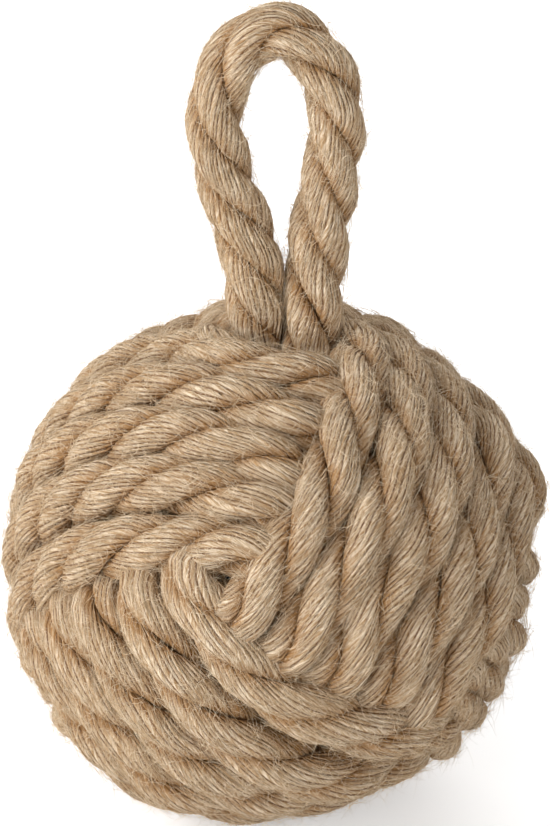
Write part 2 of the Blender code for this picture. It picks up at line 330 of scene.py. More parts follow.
# Shapes of the ropes' middle lines


def knot_axes():
    """The turn from the knot's own axes to the frame's, its all-positive corner on top, as in part.py."""
    up = unit(np.array([1.0, 1.0, 1.0]))
    front = unit(np.array([-2.0, 1.0, 1.0]))
    knot = np.array([front, np.cross(up, front), up])
    lean_right = math.tan(math.radians(LEAN_RIGHT_DEG))
    lean_forward = math.tan(math.radians(LEAN_FORWARD_DEG))
    up_here = unit(np.array([lean_right, -lean_forward, 1.0]))
    azimuth = math.radians(FIRST_CORNER_TURN_DEG)
    level_front = np.array([math.sin(azimuth), -math.cos(azimuth), 0.0])
    front_here = unit(level_front - up_here * (level_front @ up_here))
    here = np.array([front_here, np.cross(up_here, front_here), up_here]).T
    return here @ knot


def camera_axes():
    """The photo's right and up, and the way back to its camera."""
    elevation = math.radians(CAMERA_ELEVATION_DEG)
    right = np.array([1.0, 0.0, 0.0])
    up = np.array([0.0, math.sin(elevation), math.cos(elevation)])
    return right, up, np.cross(right, up)


def on_ball(place):
    """The point of the ball's outside, from its middle, that the camera sees at a place given in mm."""
    right, up, back = camera_axes()
    flat = (right * place[0] + up * place[1]) / MM_PER_METRE
    return flat + back * math.sqrt(OUTER_SPHERE**2 - flat @ flat)


def pull_ropes(points):
    """Moves points on the ball, given from its middle, as PULLS and the hole at the near corner do."""
    right, up, _ = camera_axes()
    depth = np.linalg.norm(points, axis=1, keepdims=True)
    place = points / depth * OUTER_SPHERE
    moved = place.copy()
    sunk = depth.copy()
    for where, pull, reach in PULLS:
        distance = np.linalg.norm(place - on_ball(where), axis=1, keepdims=True)
        felt = np.exp(-((distance * MM_PER_METRE / reach) ** 2)) / MM_PER_METRE
        moved += (right * pull[0] + up * pull[1]) * felt
        sunk -= pull[2] * felt
    away = place - on_ball(NEAR_CORNER)
    near = 1 - smooth_step(np.linalg.norm(away, axis=1, keepdims=True) / NEAR_CORNER_REACH)
    moved += push_away(away, NEAR_CORNER_ROOM) * near
    return unit(moved) * sunk


def make_room_for_legs(points):
    """Moves points on the ball, given from its middle, round it and away from the loop's legs."""
    on_legs = np.full((len(points), 2), -LEG_ROOM_FORWARD)
    left, right = HANDLE_SIDE - LEG_OFFSET + LEFT_LEG_SHIFT, HANDLE_SIDE + LEG_OFFSET
    on_legs[:, 0] = np.clip(points[:, 0], left, right)
    room = LEG_ROOM * (1 - LEG_ROOM_LESS_BEHIND * come_in(points[:, 1:2], *LEG_ROOM_BEHIND))
    near_top = come_in(points[:, 2:], *LEG_ROOM_TOP)
    moved = points.copy()
    moved[:, :2] += push_away(points[:, :2] - on_legs, room) * near_top
    return unit(moved) * np.linalg.norm(points, axis=1, keepdims=True)


def winding_at(which, angles):
    """Points of a winding's middle line, with each one's lane, how far it has dived and its angle to the
    middle of the face that it is on."""
    turn = np.round((angles - 90) / 360)
    past = angles - 90 - 360 * turn
    lanes = turn - (TURNS + 1) / 2 + smooth_step((past / LANE_CHANGE_HALF_DEG + 1) / 2)
    outermost = (TURNS - 1) / 2
    outward = (np.minimum(np.abs(lanes), outermost) / outermost) ** 2
    start = DIVE_START_DEG[0] + (DIVE_START_DEG[1] - DIVE_START_DEG[0]) * outward
    end = DIVE_END_DEG[0] + (DIVE_END_DEG[1] - DIVE_END_DEG[0]) * outward
    folded = np.abs((angles + 90) % 180 - 90)
    dive = come_in(folded, start, end - start)
    across = lanes * LANE_PITCH
    radius = OUTER_SPHERE + (INNER_SPHERE - OUTER_SPHERE) * dive
    reach = np.sqrt(radius**2 - across**2)
    turned = np.radians(angles)
    place = np.stack([reach * np.cos(turned), reach * np.sin(turned), across], axis=1)
    points = pull_ropes(make_room_for_legs(np.roll(place, which, axis=1) @ knot_axes().T))
    points = points + np.array(KNOT_CENTRE)
    left, right = SETTLE_SHARES
    share = left + (right - left) * smooth_step((points[:, 0] / SETTLE_SIDE + 1) / 2)
    points[:, 2] += FLOOR_SETTLE * share * (1 - smooth_step(points[:, 2] / FLOOR_SETTLE_REACH))
    return points, lanes, dive, folded


def rings_along(points, steps):
    """Where along a fine line rings go, as shares of its index, when each wants its own step."""
    gaps = np.linalg.norm(np.diff(points, axis=0), axis=1)
    counts = np.concatenate([[0.0], np.cumsum(gaps / ((steps[1:] + steps[:-1]) / 2))])
    wanted = np.linspace(0, counts[-1], int(counts[-1]) + 2)
    return np.interp(wanted, counts, np.arange(len(points)))


def run_of(points):
    return np.concatenate([[0.0], np.cumsum(np.linalg.norm(np.diff(points, axis=0), axis=1))])


def winding_line(which, rng):
    """A winding's middle line as rings, with their directions and the room that the rope has there."""
    first = 90 + TAIL_STOP_DEG
    last = 90 + 360 * TURNS - TAIL_STOP_DEG
    fine = np.arange(first, last, LINE_STEP_DEG)
    points, _, dive, _ = winding_at(which, fine)
    steps = RING_STEP_SHOWN + (RING_STEP_HIDDEN - RING_STEP_SHOWN) * come_in(dive, *HIDDEN_DIVE)
    angles = np.interp(rings_along(points, steps), np.arange(len(fine)), fine)
    points, lanes, dive, folded = winding_at(which, angles)

    run = run_of(points)
    along = unit(np.gradient(points, run, axis=0))
    outward = points - np.array(KNOT_CENTRE)
    outward = unit(outward - along * np.sum(outward * along, axis=1, keepdims=True))
    sideways = np.cross(along, outward)
    points = points + outward * drift(run, rng, *LINE_WANDER)[:, None]
    points = points + sideways * drift(run, rng, *LINE_WANDER)[:, None]

    lane_axis = knot_axes() @ np.roll([0.0, 0.0, 1.0], which)
    side_sign = np.sign(sideways @ lane_axis)
    half = LANE_PITCH / 2 * (SIDE_ROOM - END_PINCH * come_in(folded, *END_PINCH_DEG))
    edge = (TURNS - 1) / 2
    high_side = half + (FREE - half) * come_in(lanes - edge, *BESIDE_EDGE_LANE)
    low_side = half + (FREE - half) * come_in(-lanes - edge, *BESIDE_EDGE_LANE)
    covered = come_in(folded, *COVERED_DEG)
    room = {
        "plus": np.where(side_sign > 0, high_side, low_side),
        "minus": np.where(side_sign > 0, low_side, high_side),
        "out": PRESSED_HALF + (FREE - PRESSED_HALF) * (1 - covered) ** 3,
        "in": np.full(len(points), PRESSED_HALF),
    }
    return {
        "points": points,
        "run": run,
        "along": along,
        "outward": outward,
        "sideways": sideways,
        "room": room,
        "fan": 1 / np.linalg.norm(points - np.array(KNOT_CENTRE), axis=1),
        "shown": 1 - dive,
        "swell": np.ones(len(points)),
    }


def bezier(corners):
    share = np.linspace(0, 1, SPAN_POINTS, endpoint=False)[:, None]
    rest = 1 - share
    a, b, c, d = (np.array(corner) for corner in corners)
    return rest**3 * a + 3 * rest**2 * share * b + 3 * rest * share**2 * c + share**3 * d


def loop_line():
    """The handle's middle line, from inside the knot up one leg, over the crown and down the other."""
    up = np.array([0.0, 0.0, 1.0])
    hinge = np.array([HANDLE_SIDE, 0.0, HINGE_HEIGHT])
    feet = [hinge + np.array([side * LEG_OFFSET, 0.0, 0.0]) for side in (-1, 1)]
    roots = [hinge + np.array([right, back, -LEG_DEPTH]) for right, back in LEG_ROOTS]
    bellies = [hinge + np.array([LOOP_LEAN + side * BELLY_HALF, 0.0, BELLY_HEIGHT]) for side in (-1, 1)]
    crown = hinge + np.array([LOOP_LEAN, 0.0, LOOP_HEIGHT])
    sinks = [np.array(down) * LEG_DEPTH / 3 for down in LEG_DOWNS]
    rises = [-np.array(down) * LEG_DEPTH / 3 for down in ROOT_DOWNS]
    lifts = [-np.array(down) * LEG_PULL * BELLY_HEIGHT for down in LEG_DOWNS]
    lift = up * LEG_PULL * BELLY_HEIGHT
    shoulder = up * SHOULDER_PULL * (LOOP_HEIGHT - BELLY_HEIGHT)
    reach = np.array([CROWN_PULL * BELLY_HALF, 0.0, 0.0])
    spans = (
        (roots[0], roots[0] + rises[0], feet[0] + sinks[0], feet[0]),
        (feet[0], feet[0] + lifts[0], bellies[0] - lift, bellies[0]),
        (bellies[0], bellies[0] + shoulder, crown - reach, crown),
        (crown, crown + reach, bellies[1] + shoulder, bellies[1]),
        (bellies[1], bellies[1] - lift, feet[1] + lifts[1], feet[1]),
        (feet[1], feet[1] + sinks[1], roots[1] + rises[1], roots[1]),
    )
    fine = np.concatenate([bezier(span) for span in spans] + [[roots[1]]])
    picks = rings_along(fine, np.full(len(fine), LOOP_RING_STEP))
    points = np.stack([np.interp(picks, np.arange(len(fine)), fine[:, axis]) for axis in range(3)], axis=1)
    run = run_of(points)
    along = unit(np.gradient(points, run, axis=0))
    sideways = np.tile([0.0, -1.0, 0.0], (len(points), 1))
    outward = np.cross(sideways, along)
    sunk = smooth_step((HINGE_HEIGHT - GRIP_START - points[:, 2]) / GRIP_LENGTH)
    free = np.full(len(points), FREE)
    pinch = LOOP_RADIUS * (GRIP_ROOM - GRIP_PINCH * sunk)
    # Where the legs come closer than at the hinge, the right one keeps its width and the left gives way.
    top = np.argmax(points[:, 2])
    left, right = points[: top + 1], points[top:][::-1]
    between = [np.interp(points[:, 2], leg[:, 2], leg[:, 0]) for leg in (left, right)]
    below_belly = points[:, 2] < bellies[0][2]
    half_apart = (between[1] - between[0]) / 2
    over = np.maximum(LEG_OFFSET - half_apart, 0) * np.where(np.arange(len(points)) < top, -1, 1)
    to_middle = np.where(below_belly, half_apart * LEG_PRESS + over, FREE)
    room = {
        "plus": np.where(sunk > 0, pinch, free),
        "minus": np.where(sunk > 0, pinch, free),
        "out": free,
        "in": to_middle,
    }
    return {
        "points": points,
        "run": run,
        "along": along,
        "outward": outward,
        "sideways": sideways,
        "room": room,
        "fan": np.zeros(len(points)),
        "shown": 1 - sunk,
        "swell": 1 + LEG_SWELL * (1 - come_in(points[:, 2], HINGE_HEIGHT, LEG_SWELL_HEIGHT)),
    }


# Rope of twisted strands


def strand_shape(line, strand, radius, lay, phase, rng):
    """A grid of points of one strand, rings by columns, with its outward directions and how deep each point
    lies in the hollows, which sets the painted shade there.

    The columns follow the yarns, which twist against the strands and so lie almost along the rope."""
    run = line["run"]
    columns = YARNS * YARN_COLUMNS
    turn_per_metre = 2 * math.pi / lay
    swing = drift(run, rng, *STRAND_SWING)
    centre_angle = phase + 2 * math.pi * strand / STRANDS + turn_per_metre * run + swing
    counter = turn_per_metre * STRAND_OFFSET / STRAND_RADIUS
    # Yarns are of unlike widths, and each swells and narrows along its length.
    base = rng.uniform(*YARN_WIDTHS, YARNS)
    widths = np.stack([width * (1 + drift(run, rng, *YARN_SWELL)) for width in base], axis=1)
    widths = np.repeat(np.maximum(widths, YARN_LEAST_WIDTH), YARN_COLUMNS, axis=1)
    spread = (np.cumsum(widths, axis=1) - widths) / widths.sum(axis=1, keepdims=True) * 2 * math.pi
    angle = spread - (counter * run)[:, None] + drift(run, rng, *YARN_SWAY)[:, None]

    from_crown = angle - centre_angle[:, None]
    size = radius * (line["swell"] + drift(run, rng, *STRAND_SWELL))[:, None]
    # A strand is round outside, and flat where it lies against the other two.
    wall = STRAND_OFFSET * size * math.sin(math.pi / STRANDS)
    facing = math.pi / 2 + math.pi / STRANDS
    least_towards = 0.02
    power = -STRAND_CORNER_SHARPNESS
    reach = STRAND_RADIUS * size
    for side in (-1, 1):
        to_wall = wall / np.maximum(np.cos(from_crown - side * facing), least_towards)
        reach = (reach**power + to_wall**power) ** (1 / power)
    grooves = np.tile(GROOVE_PROFILE, YARNS)[None, :]
    depths = np.stack([YARN_GROOVE * (1 + drift(run, rng, *GROOVE_WANDER)) for _ in range(YARNS)], axis=1)
    proud = np.stack([drift(run, rng, *YARN_PROUD) for _ in range(YARNS)], axis=1)
    depths = np.repeat(depths, YARN_COLUMNS, axis=1)
    reach = reach - grooves * depths + np.repeat(proud, YARN_COLUMNS, axis=1)

    offset = STRAND_OFFSET * size
    across = offset * np.cos(centre_angle)[:, None] + reach * np.cos(angle)
    out = offset * np.sin(centre_angle)[:, None] + reach * np.sin(angle)
    room = line["room"]
    # Ropes side by side round a ball have more room at their outer sides.
    fan = 1 + line["fan"][:, None] * out
    across = np.where(
        across > 0,
        soft_limit(np.maximum(across, 0), room["plus"][:, None] * fan),
        -soft_limit(np.maximum(-across, 0), room["minus"][:, None] * fan),
    )
    out = np.where(
        out > 0,
        soft_limit(np.maximum(out, 0), room["out"][:, None]),
        -soft_limit(np.maximum(-out, 0), room["in"][:, None]),
    )
    grid = (
        line["points"][:, None, :]
        + across[:, :, None] * line["sideways"][:, None, :]
        + out[:, :, None] * line["outward"][:, None, :]
    )
    facing_out = (
        np.cos(angle)[:, :, None] * line["sideways"][:, None, :]
        + np.sin(angle)[:, :, None] * line["outward"][:, None, :]
    )
    # How deep each point lies in the seams between strands and in the hollows between ropes: the mask of
    # the painted shade in the jute's colour.
    away = np.abs((from_crown + math.pi) % (2 * math.pi) - math.pi)
    strand_seam_shade = come_in(away, *SEAM_SHADE_ANGLE)
    beside_shade = smooth_step((BESIDE_SHADE_TOP - out / radius) / BESIDE_SHADE_FADE) * np.minimum(line["fan"], 1)[:, None]
    hollow_shade = np.maximum(strand_seam_shade, beside_shade)
    return grid, facing_out, hollow_shade


def rest_on_floor(grid):
    """Presses what would lie under the floor flat against it."""
    ease = 0.0008
    heights = grid[:, :, 2]
    grid[:, :, 2] = (heights + np.sqrt(heights**2 + ease**2)) / 2
    return grid


def grid_object(name, grid, hollow_shade, run, strand, material):
    """A closed tube from a grid of rings by columns, with its ends capped.

    Its map says which yarn a place is on and how many mm along the rope it lies."""
    rings, columns = grid.shape[:2]
    vertices = grid.reshape(-1, 3)
    caps = np.array([grid[0].mean(axis=0), grid[-1].mean(axis=0)])
    vertices = np.concatenate([vertices, caps])
    ring = np.arange(rings - 1)[:, None] * columns
    column = np.arange(columns)[None, :]
    after = (column + 1) % columns
    left, right = ring + column, ring + after
    quads = np.stack([left, right, right + columns, left + columns], axis=-1)
    quads = quads.reshape(-1, 4)
    first, last = len(vertices) - 2, len(vertices) - 1
    top = (rings - 1) * columns
    start_fan = [(first, (index + 1) % columns, index) for index in range(columns)]
    end_fan = [(last, top + index, top + (index + 1) % columns) for index in range(columns)]

    mesh = bpy.data.meshes.new(name)
    mesh.from_pydata(vertices.tolist(), [], quads.tolist() + start_fan + end_fan)
    u_left = np.broadcast_to(column / YARN_COLUMNS, (rings - 1, columns))
    u_right = u_left + 1 / YARN_COLUMNS
    v_low = np.broadcast_to((run[:-1, None] + strand) / MAP_UNIT, (rings - 1, columns))
    v_high = np.broadcast_to((run[1:, None] + strand) / MAP_UNIT, (rings - 1, columns))
    corners = np.stack([u_left, v_low, u_right, v_low, u_right, v_high, u_left, v_high], axis=-1)
    fans = np.zeros((columns * 2, 6))
    layer = mesh.uv_layers.new(name="yarns")
    layer.data.foreach_set("uv", np.concatenate([corners.ravel(), fans.ravel()]).astype(np.float32))
    # Each point's depth in the hollows, which sets the painted shade in the jute's colour.
    depth = mesh.attributes.new("hollow_shade", "FLOAT", "POINT")
    depth.data.foreach_set("value", np.concatenate([hollow_shade.ravel(), [1.0, 1.0]]).astype(np.float32))
    mesh.shade_smooth()
    mesh.materials.append(material)
    thing = bpy.data.objects.new(name, mesh)
    bpy.context.scene.collection.objects.link(thing)
    return thing


def lay_rope(name, line, radius, lay, phase, rng, material):
    """Three strands along a line. It gives back the pieces, and places on them where fibres can start."""
    pieces = []
    spots = []
    for strand in range(STRANDS):
        grid, facing_out, hollow_shade = strand_shape(line, strand, radius, lay, phase, rng)
        grid = rest_on_floor(grid)
        piece = grid_object(f"{name}_strand_{strand + 1}", grid, hollow_shade, line["run"], strand, material)
        pieces.append(piece)
        outside = np.linalg.norm(grid - line["points"][:, None, :], axis=-1)
        clear = grid[:, :, 2] > FIBRE_CLEARANCE
        shows = line["shown"][:, None] > FIBRE_SHOWN_LEAST
        fit = (hollow_shade < FIBRE_HOLLOW_LIMIT) & shows & (outside > radius * FIBRE_OUTSIDE_SHARE) & clear
        along = np.broadcast_to(line["along"][:, None, :], grid.shape)
        spots.append(np.concatenate([grid[fit], facing_out[fit], along[fit]], axis=1))
    return pieces, np.concatenate(spots)


# Stray fibres


def fibre_object(name, spots, count, rng, material):
    """Thin tapered hairs, each curling off from a spot on the rope."""
    chosen = spots[rng.integers(0, len(spots), count)]
    start, outward, along = chosen[:, :3], chosen[:, 3:6], chosen[:, 6:9]
    sideways = np.cross(along, outward)
    stands = rng.random(count) < STANDING_SHARE

    def each(measure):
        standing = rng.uniform(*STANDING_HAIR[measure], count)
        return np.where(stands, standing, rng.uniform(*LYING_HAIR[measure], count))

    length = each("length")
    heading = rng.normal(0, FIBRE_HEADING, count) + np.where(rng.random(count) < 0.5, math.pi, 0.0)
    curl = rng.normal(0, FIBRE_CURL, count)
    wave = rng.uniform(-FIBRE_WAVE, FIBRE_WAVE, count)
    rise = each("rise")
    droop = each("droop")
    share = np.linspace(0, 1, FIBRE_KNOTS)[None, :]
    # Each hair bends steadily as it goes, so its heading is summed along it.
    turning = heading[:, None] + curl[:, None] * share + wave[:, None] * np.sin(FIBRE_WAVE_PACE * share)
    step = (length / (FIBRE_KNOTS - 1))[:, None]
    ahead = np.cumsum(np.cos(turning) * step, axis=1) - np.cos(turning[:, :1]) * step
    aside = np.cumsum(np.sin(turning) * step, axis=1) - np.sin(turning[:, :1]) * step
    height = length[:, None] * share * (rise[:, None] + droop[:, None] * share) - FIBRE_ROOT_DEPTH
    line = (
        start[:, None, :]
        + along[:, None, :] * ahead[:, :, None]
        + sideways[:, None, :] * aside[:, :, None]
        + outward[:, None, :] * height[:, :, None]
    )
    line[:, :, 2] = np.maximum(line[:, :, 2], FIBRE_LEAST_HEIGHT)
    never_zero = 1e-9
    tangent = unit(np.gradient(line, axis=1) + never_zero)
    across = unit(np.cross(tangent, unit(rng.normal(size=(count, 3)))[:, None, :]))
    above = np.cross(tangent, across)
    thickness = rng.uniform(*FIBRE_THICKNESS, count)[:, None, None]
    taper = np.sqrt(np.clip(FIBRE_TAPER_END - share, 0, 1))[:, :, None]
    turns = np.arange(FIBRE_SIDES) * 2 * math.pi / FIBRE_SIDES
    half = thickness * taper
    rings = [line + half * (math.cos(angle) * across + math.sin(angle) * above) for angle in turns]
    vertices = np.stack(rings, axis=2).reshape(-1, 3)
    per_hair = FIBRE_KNOTS * FIBRE_SIDES
    base = np.arange(count)[:, None, None] * per_hair
    ring = np.arange(FIBRE_KNOTS - 1)[None, :, None] * FIBRE_SIDES
    side = np.arange(FIBRE_SIDES)[None, None, :]
    after = (side + 1) % FIBRE_SIDES
    low, high = base + ring, base + ring + FIBRE_SIDES
    quads = np.stack([low + side, low + after, high + after, high + side], axis=-1).reshape(-1, 4)
    ends = np.arange(count) * per_hair
    tips = ends + per_hair - FIBRE_SIDES
    caps = [(end + 2, end + 1, end) for end in ends.tolist()]
    caps += [(tip, tip + 1, tip + 2) for tip in tips.tolist()]
    mesh = bpy.data.meshes.new(name)
    mesh.from_pydata(vertices.tolist(), [], quads.tolist() + caps)
    mesh.shade_smooth()
    mesh.materials.append(material)
    thing = bpy.data.objects.new(name, mesh)
    bpy.context.scene.collection.objects.link(thing)
    return thing


# Materials

JUTE_TONES = {
    "middle": (0.46, 0.305, 0.165),
    "pale": (0.86, 0.725, 0.550),
    "brown": (0.28, 0.138, 0.043),
    # Painted shade for the gaps between yarns and for splits in a yarn.
    "dark": (0.12, 0.040, 0.006),
    # Painted shade, a darker and more saturated brown, for the hollows between strands and ropes.
    "hollow_shade_tone": (0.34, 0.163, 0.047),
}
FLECK_TONE = (0.05, 0.028, 0.014)
FIBRE_TONES = ((0.85, 0.70, 0.50), (0.55, 0.375, 0.205))
CLOTH_TONES = ((0.050, 0.058, 0.074), (0.100, 0.115, 0.140))
# Painted shade for the hollows of the cloth's weave.
CLOTH_WEAVE_SHADE_TONE = (0.025, 0.028, 0.038)
SAND_TONES = ((0.30, 0.23, 0.15), (0.52, 0.43, 0.30))
CLOTH_THREAD = 0.0009
KNOT_SHADE = 1.0
LOOP_SHADE = 1.02

# Streaks along the yarns: how many across a yarn and along a mm, then the noise's detail and roughness.
TINT_STREAKS = (7.31, 0.03)
WOBBLE_STREAKS = (0.9, 0.14)
FIBRE_STREAKS = (3.9, 0.12, 3.0, 0.65)
HAIR_STREAKS = (9.0, 0.28, 2.0)
SPLIT_STREAKS = (3.6, 0.12, 1.0)
FLECK_STREAKS = (1.3, 0.3, 1.0)
OPEN_STREAKS = (3.77, 0.08, 2.0)
# How many yarns' widths a fibre crosses along a mm, and how many it strays.
FIBRE_TWIST = 0.13
FIBRE_STRAY = 0.8

# Where each look comes in: the value of its noise at which it starts, the one at which it is full, and its
# share at both, which is 0 and 1 where none is given.
PALE_FIBRES = (0.42, 0.62)
BROWN_YARNS = (0.35, 0.75, 0.0, 0.5)
PALE_HAIRS = (0.54, 0.66, 0.0, 0.65)
BROWN_HAIRS = (0.46, 0.34, 0.0, 0.6)
CLOUDED = (0.40, 0.70, 0.0, 0.35)
# The next five shape the painted shade in the gaps between yarns and in splits.
GAP_SHADE_EDGE = (0.27, 0.45)
GAP_SHADE_OPEN = (0.35, 0.52, 0.10, 1.0)
GAP_SHADE_BROKEN = (0.32, 0.55, 0.35, 1.0)
SPLIT_SHADE_LINE = (0.014, 0.0)
SPLIT_SHADE_BROKEN = (0.40, 0.60)
PALE_FUZZ = (0.52, 0.70, 0.0, 0.35)
FLECKED = (0.76, 0.80)
HAIRS_MIXED = (0.35, 0.65)
CLOTH_MIXED = (0.3, 0.7)
# Where the painted shade of the weave's hollows comes in.
CLOTH_WEAVE_SHADE = (-1.0, 1.0, 0.0, 0.5)
SAND_MIXED = (0.35, 0.65)
# How much of the painted shade the hollows between strands and ropes take.
HOLLOW_SHADE_SHARE = 0.78
# How much painted shade the gaps between yarns and the splits take.
YARN_GAP_SHADE_SHARE = 0.9
SPLIT_SHADE_SHARE = 0.5
FLECK_SHARE = 0.8

# Noises of one size each way: waves per metre, detail and roughness.
CLOUDS = (26.0, 3.0)
FUZZ = (900.0, 3.0, 0.6)
HAIR_CLOUDS = (300.0, 1.0)
CLOTH_CLOUDS = (60.0, 3.0)
SAND_GRAINS = (1500.0, 2.0)

# Surfaces: their roughness, and how strong and how deep their bumps are.
JUTE_ROUGHNESS = 0.66
JUTE_SHINE = 0.10
JUTE_BUMPS = (1.0, 0.0006)
JUTE_HEIGHTS = {"hairs": 0.6, "fuzz": 0.8, "seams": 0.5}
HAIR_ROUGHNESS = 0.6
CLOTH_ROUGHNESS = 0.9
CLOTH_BUMPS = (0.5, 0.0003)
SAND_ROUGHNESS = 0.95
SAND_BUMPS = (0.6, 0.0005)
FLOOR_ROUGHNESS = 0.9


class Nodes:
    """Short ways to add and join a material's nodes."""

    def __init__(self, name):
        self.material = bpy.data.materials.new(name)
        self.material.use_nodes = True
        self.tree = self.material.node_tree
        self.shader = self.tree.nodes["Principled BSDF"]

    def add(self, kind, **settings):
        node = self.tree.nodes.new(kind)
        for key, value in settings.items():
            setattr(node, key, value)
        return node

    def feed(self, socket, source):
        if isinstance(source, bpy.types.NodeSocket):
            self.tree.links.new(source, socket)
        else:
            socket.default_value = source

    def reckon(self, operation, first, second=0.0):
        node = self.add("ShaderNodeMath", operation=operation)
        self.feed(node.inputs[0], first)
        self.feed(node.inputs[1], second)
        return node.outputs[0]

    def ramp(self, value, start, end, least=0.0, most=1.0):
        """least where value is at the start, most where it is at the end, and smooth between."""
        node = self.add("ShaderNodeMapRange", interpolation_type="SMOOTHSTEP")
        for socket, source in zip(node.inputs[:5], (value, start, end, least, most)):
            self.feed(socket, source)
        return node.outputs[0]

    def place(self, x, y, z=0.0):
        node = self.add("ShaderNodeCombineXYZ")
        for socket, source in zip(node.inputs, (x, y, z)):
            self.feed(socket, source)
        return node.outputs[0]

    def noise(self, vector, scale, detail=2.0, roughness=0.5):
        node = self.add("ShaderNodeTexNoise")
        self.feed(node.inputs["Vector"], vector)
        node.inputs["Scale"].default_value = scale
        node.inputs["Detail"].default_value = detail
        node.inputs["Roughness"].default_value = roughness
        return node.outputs["Fac"]

    def mix(self, share, first, second):
        node = self.add("ShaderNodeMix", data_type="RGBA")
        self.feed(node.inputs["Factor"], share)
        for socket, source in zip(node.inputs[6:8], (first, second)):
            self.feed(socket, source if isinstance(source, bpy.types.NodeSocket) else (*source, 1.0))
        return node.outputs[2]

    def surface(self, colour, roughness):
        self.feed(self.shader.inputs["Base Color"], colour)
        self.shader.inputs["Roughness"].default_value = roughness
        return self.material

    def bump(self, height, strength, distance):
        node = self.add("ShaderNodeBump")
        node.inputs["Strength"].default_value = strength
        node.inputs["Distance"].default_value = distance
        self.feed(node.inputs["Height"], height)
        self.tree.links.new(node.outputs["Normal"], self.shader.inputs["Normal"])


def jute_material(name, shade):
    """Natural jute: pale yarns and fine fibres, with painted shade as dark broken lines in the gaps between
    the yarns and in thin splits, and as a darker, saturated brown in the hollows between strands and ropes.
    """
    tones = {which: tuple(part * shade for part in tone) for which, tone in JUTE_TONES.items()}
    nodes = Nodes(name)
    where = nodes.add("ShaderNodeUVMap", uv_map="yarns").outputs[0]
    split = nodes.add("ShaderNodeSeparateXYZ")
    nodes.feed(split.inputs[0], where)
    around, length = split.outputs[0], split.outputs[1]
    yarn = nodes.reckon("FLOOR", around)
    within = nodes.reckon("FRACT", around)
    gap = nodes.reckon("FLOOR", nodes.reckon("ADD", around, 0.5))

    def streaks(row, per_row, per_length, detail=2.0, roughness=0.5):
        across = nodes.reckon("MULTIPLY", row, per_row)
        place = nodes.place(across, nodes.reckon("MULTIPLY", length, per_length))
        return nodes.noise(place, 1.0, detail, roughness)

    tint = streaks(yarn, *TINT_STREAKS)
    wobble = nodes.reckon("SUBTRACT", streaks(around, *WOBBLE_STREAKS), 0.5)
    twisted = nodes.reckon("ADD", around, nodes.reckon("MULTIPLY", length, FIBRE_TWIST))
    twisted = nodes.reckon("ADD", twisted, nodes.reckon("MULTIPLY", wobble, FIBRE_STRAY))
    fibres = streaks(twisted, *FIBRE_STREAKS)
    hairs = streaks(twisted, *HAIR_STREAKS)
    splits = streaks(twisted, *SPLIT_STREAKS)
    place = nodes.add("ShaderNodeTexCoord").outputs["Object"]
    clouds = nodes.noise(place, *CLOUDS)
    fuzz = nodes.noise(place, *FUZZ)
    flecks = nodes.ramp(streaks(around, *FLECK_STREAKS), *FLECKED)

    colour = nodes.mix(nodes.ramp(fibres, *PALE_FIBRES), tones["middle"], tones["pale"])
    colour = nodes.mix(nodes.ramp(tint, *BROWN_YARNS), colour, tones["brown"])
    colour = nodes.mix(nodes.ramp(hairs, *PALE_HAIRS), colour, tones["pale"])
    colour = nodes.mix(nodes.ramp(hairs, *BROWN_HAIRS), colour, tones["brown"])
    colour = nodes.mix(nodes.ramp(clouds, *CLOUDED), colour, tones["middle"])
    # Painted shade: the hollows between strands and between ropes take a darker, more saturated brown.
    hollow_shade = nodes.add("ShaderNodeAttribute", attribute_name="hollow_shade").outputs["Fac"]
    colour = nodes.mix(nodes.reckon("MULTIPLY", hollow_shade, HOLLOW_SHADE_SHARE), colour, tones["hollow_shade_tone"])
    # The lines between yarns come and go along them, and a few thin splits open inside a yarn. Both are
    # painted shade: dark colour in the gaps between the yarns and in the splits.
    edge = nodes.reckon("ABSOLUTE", nodes.reckon("SUBTRACT", within, 0.5))
    open_here = nodes.ramp(streaks(gap, *OPEN_STREAKS), *GAP_SHADE_OPEN)
    yarn_gap_shade = nodes.reckon("MULTIPLY", nodes.ramp(edge, *GAP_SHADE_EDGE), open_here)
    yarn_gap_shade = nodes.reckon("MULTIPLY", yarn_gap_shade, nodes.ramp(fuzz, *GAP_SHADE_BROKEN))
    colour = nodes.mix(nodes.reckon("MULTIPLY", yarn_gap_shade, YARN_GAP_SHADE_SHARE), colour, tones["dark"])
    split_shade = nodes.ramp(nodes.reckon("ABSOLUTE", nodes.reckon("SUBTRACT", splits, 0.5)), *SPLIT_SHADE_LINE)
    split_shade = nodes.reckon("MULTIPLY", split_shade, nodes.ramp(fuzz, *SPLIT_SHADE_BROKEN))
    colour = nodes.mix(nodes.reckon("MULTIPLY", split_shade, SPLIT_SHADE_SHARE), colour, tones["dark"])
    colour = nodes.mix(nodes.ramp(fuzz, *PALE_FUZZ), colour, tones["pale"])
    colour = nodes.mix(nodes.reckon("MULTIPLY", flecks, FLECK_SHARE), colour, FLECK_TONE)
    nodes.shader.inputs["Specular IOR Level"].default_value = JUTE_SHINE
    height = nodes.reckon("ADD", fibres, nodes.reckon("MULTIPLY", hairs, JUTE_HEIGHTS["hairs"]))
    height = nodes.reckon("ADD", height, nodes.reckon("MULTIPLY", fuzz, JUTE_HEIGHTS["fuzz"]))
    height = nodes.reckon("SUBTRACT", height, nodes.reckon("MULTIPLY", yarn_gap_shade, JUTE_HEIGHTS["seams"]))
    nodes.bump(height, *JUTE_BUMPS)
    return nodes.surface(colour, JUTE_ROUGHNESS)


def fibre_material():
    """Stray hairs, some pale and some brown."""
    nodes = Nodes("jute_fibres")
    clouds = nodes.noise(nodes.add("ShaderNodeTexCoord").outputs["Object"], *HAIR_CLOUDS)
    colour = nodes.mix(nodes.ramp(clouds, *HAIRS_MIXED), *FIBRE_TONES)
    return nodes.surface(colour, HAIR_ROUGHNESS)


